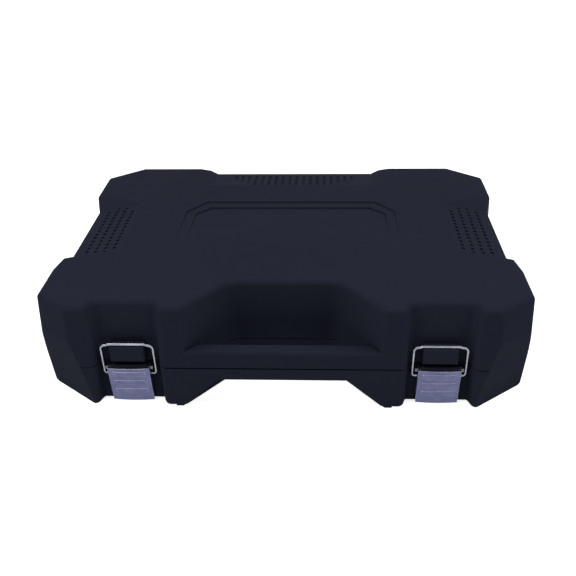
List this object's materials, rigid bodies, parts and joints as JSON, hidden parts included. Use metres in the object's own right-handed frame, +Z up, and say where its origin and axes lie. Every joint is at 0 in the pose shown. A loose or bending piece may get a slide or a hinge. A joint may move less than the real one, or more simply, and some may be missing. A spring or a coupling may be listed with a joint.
{
  "type": "socket wrench set in case",
  "caption": "Closed moulded plastic carry case with a front handle, draw latches and a hinged lid, holding ratchets, sockets, extension bars and bits in a fitted tray.",
  "frame": {"origin": "middle of the closed case's box, on the surface that the case lies on", "axes": "+X to the case's right as seen from the latches, +Y towards the hinges, +Z up"},
  "size_m": [0.387, 0.299, 0.09],
  "materials": {
    "case_plastic": "fine matte grain, blow-moulded",
    "tray_plastic": "fine matte grain",
    "latch_steel": "pressed and plated, satin",
    "wire": "bright drawn wire",
    "pin_steel": "plated",
    "chrome_tools": "polished",
    "tool_steel": "dark satin",
    "grip": "satin",
    "insert_rubber": "matte"
  },
  "bodies": {
    "case_base": {"base_shell": "case_plastic", "hex_bits": "tool_steel", "hinge_pins": "pin_steel", "left_latch_pin": "pin_steel", "long_extension_bar": "chrome_tools", "ratchet_body": "chrome_tools", "ratchet_cover": "chrome_tools", "ratchet_cover_screws": "tool_steel", "ratchet_grip": "grip", "right_latch_pin": "pin_steel", "short_extension_bar": "chrome_tools", "small_ratchet_body": "chrome_tools", "small_ratchet_cover": "chrome_tools", "small_ratchet_cover_screws": "tool_steel", "small_ratchet_grip": "grip", "small_socket_10mm": "chrome_tools", "small_socket_11mm": "chrome_tools", "small_socket_12mm": "chrome_tools", "small_socket_13mm": "chrome_tools", "small_socket_5_5mm": "chrome_tools", "small_socket_5mm": "chrome_tools", "small_socket_6mm": "chrome_tools", "small_socket_7mm": "chrome_tools", "small_socket_8mm": "chrome_tools", "small_socket_9mm": "chrome_tools", "socket_10mm": "chrome_tools", "socket_12mm": "chrome_tools", "socket_13mm": "chrome_tools", "socket_14mm": "chrome_tools", "socket_15mm": "chrome_tools", "socket_16mm": "chrome_tools", "socket_17mm": "chrome_tools", "socket_19mm": "chrome_tools", "socket_21mm": "chrome_tools", "socket_22mm": "chrome_tools", "socket_24mm": "chrome_tools", "socket_27mm": "chrome_tools", "socket_30mm": "chrome_tools", "socket_32mm": "chrome_tools", "spark_plug_insert": "insert_rubber", "spark_plug_socket": "chrome_tools", "tool_tray": "tray_plastic", "universal_joint_lower_fork": "chrome_tools"},
    "lid": {"lid_shell": "case_plastic", "lid_liner": "tray_plastic"},
    "left_lever": {"left_latch_lever": "latch_steel"},
    "right_lever": {"right_latch_lever": "latch_steel"},
    "left_bail": {"left_latch_bail": "wire"},
    "right_bail": {"right_latch_bail": "wire"},
    "ratchet_spindle": {"ratchet_drive": "chrome_tools"},
    "ratchet_reverser": {"ratchet_selector": "tool_steel", "ratchet_pawl": "tool_steel"},
    "ratchet_button": {"ratchet_release_button": "chrome_tools"},
    "small_ratchet_spindle": {"small_ratchet_drive": "chrome_tools"},
    "small_ratchet_reverser": {"small_ratchet_selector": "tool_steel", "small_ratchet_pawl": "tool_steel"},
    "small_ratchet_button": {"small_ratchet_release_button": "chrome_tools"},
    "joint_cross": {"universal_joint_cross": "tool_steel"},
    "joint_upper": {"universal_joint_upper_fork": "chrome_tools"}
  },
  "joints": [
    {"name": "lid_hinge", "type": "hinge", "parent": "case_base", "child": "lid", "pos_m": [0, 0.145, 0.0365], "axis": [-1, 0, 0], "range_deg": [0, 105]},
    {"name": "left_lever_pivot", "type": "hinge", "parent": "case_base", "child": "left_lever", "pos_m": [-0.121, -0.1435, 0.0335], "axis": [-1, 0, 0], "range_deg": [0, 110]},
    {"name": "left_bail_pivot", "type": "hinge", "parent": "left_lever", "child": "left_bail", "pos_m": [-0.121, -0.14163, 0.02724], "axis": [-1, 0, 0], "range_deg": [-133, 0]},
    {"name": "right_lever_pivot", "type": "hinge", "parent": "case_base", "child": "right_lever", "pos_m": [0.121, -0.1435, 0.0335], "axis": [-1, 0, 0], "range_deg": [0, 110]},
    {"name": "right_bail_pivot", "type": "hinge", "parent": "right_lever", "child": "right_bail", "pos_m": [0.121, -0.14163, 0.02724], "axis": [-1, 0, 0], "range_deg": [-133, 0]},
    {"name": "ratchet_drive_turn", "type": "hinge", "parent": "case_base", "child": "ratchet_spindle", "pos_m": [-0.132, 0.01994, 0.03], "axis": [0, 0, 1], "continuous": true},
    {"name": "ratchet_direction", "type": "hinge", "parent": "case_base", "child": "ratchet_reverser", "pos_m": [-0.115, 0.01994, 0.04], "axis": [0, 0, 1], "range_deg": [-20, 20]},
    {"name": "ratchet_release", "type": "slide", "parent": "ratchet_spindle", "child": "ratchet_button", "axis": [0, 0, -1], "range_m": [0, 0.0018], "stiffness_N_per_m": 400, "springref_m": -0.001},
    {"name": "small_ratchet_drive_turn", "type": "hinge", "parent": "case_base", "child": "small_ratchet_spindle", "pos_m": [0.008, -0.0548, 0.03], "axis": [0, 0, 1], "continuous": true},
    {"name": "small_ratchet_direction", "type": "hinge", "parent": "case_base", "child": "small_ratchet_reverser", "pos_m": [0.0182, -0.0548, 0.04], "axis": [0, 0, 1], "range_deg": [-20, 20]},
    {"name": "small_ratchet_release", "type": "slide", "parent": "small_ratchet_spindle", "child": "small_ratchet_button", "axis": [0, 0, -1], "range_m": [0, 0.00108], "stiffness_N_per_m": 400, "springref_m": -0.001},
    {"name": "joint_lower_pivot", "type": "hinge", "parent": "case_base", "child": "joint_cross", "pos_m": [0.148, -0.012, 0.033], "axis": [1, 0, 0], "range_deg": [-30, 30]},
    {"name": "joint_upper_pivot", "type": "hinge", "parent": "joint_cross", "child": "joint_upper", "pos_m": [0.148, -0.012, 0.033], "axis": [0, 1, 0], "range_deg": [-30, 30]}
  ],
  "couplings": [
    {"joint": "left_bail_pivot", "follows": "left_lever_pivot", "ratio": -1.2},
    {"joint": "right_bail_pivot", "follows": "right_lever_pivot", "ratio": -1.2}
  ]
}
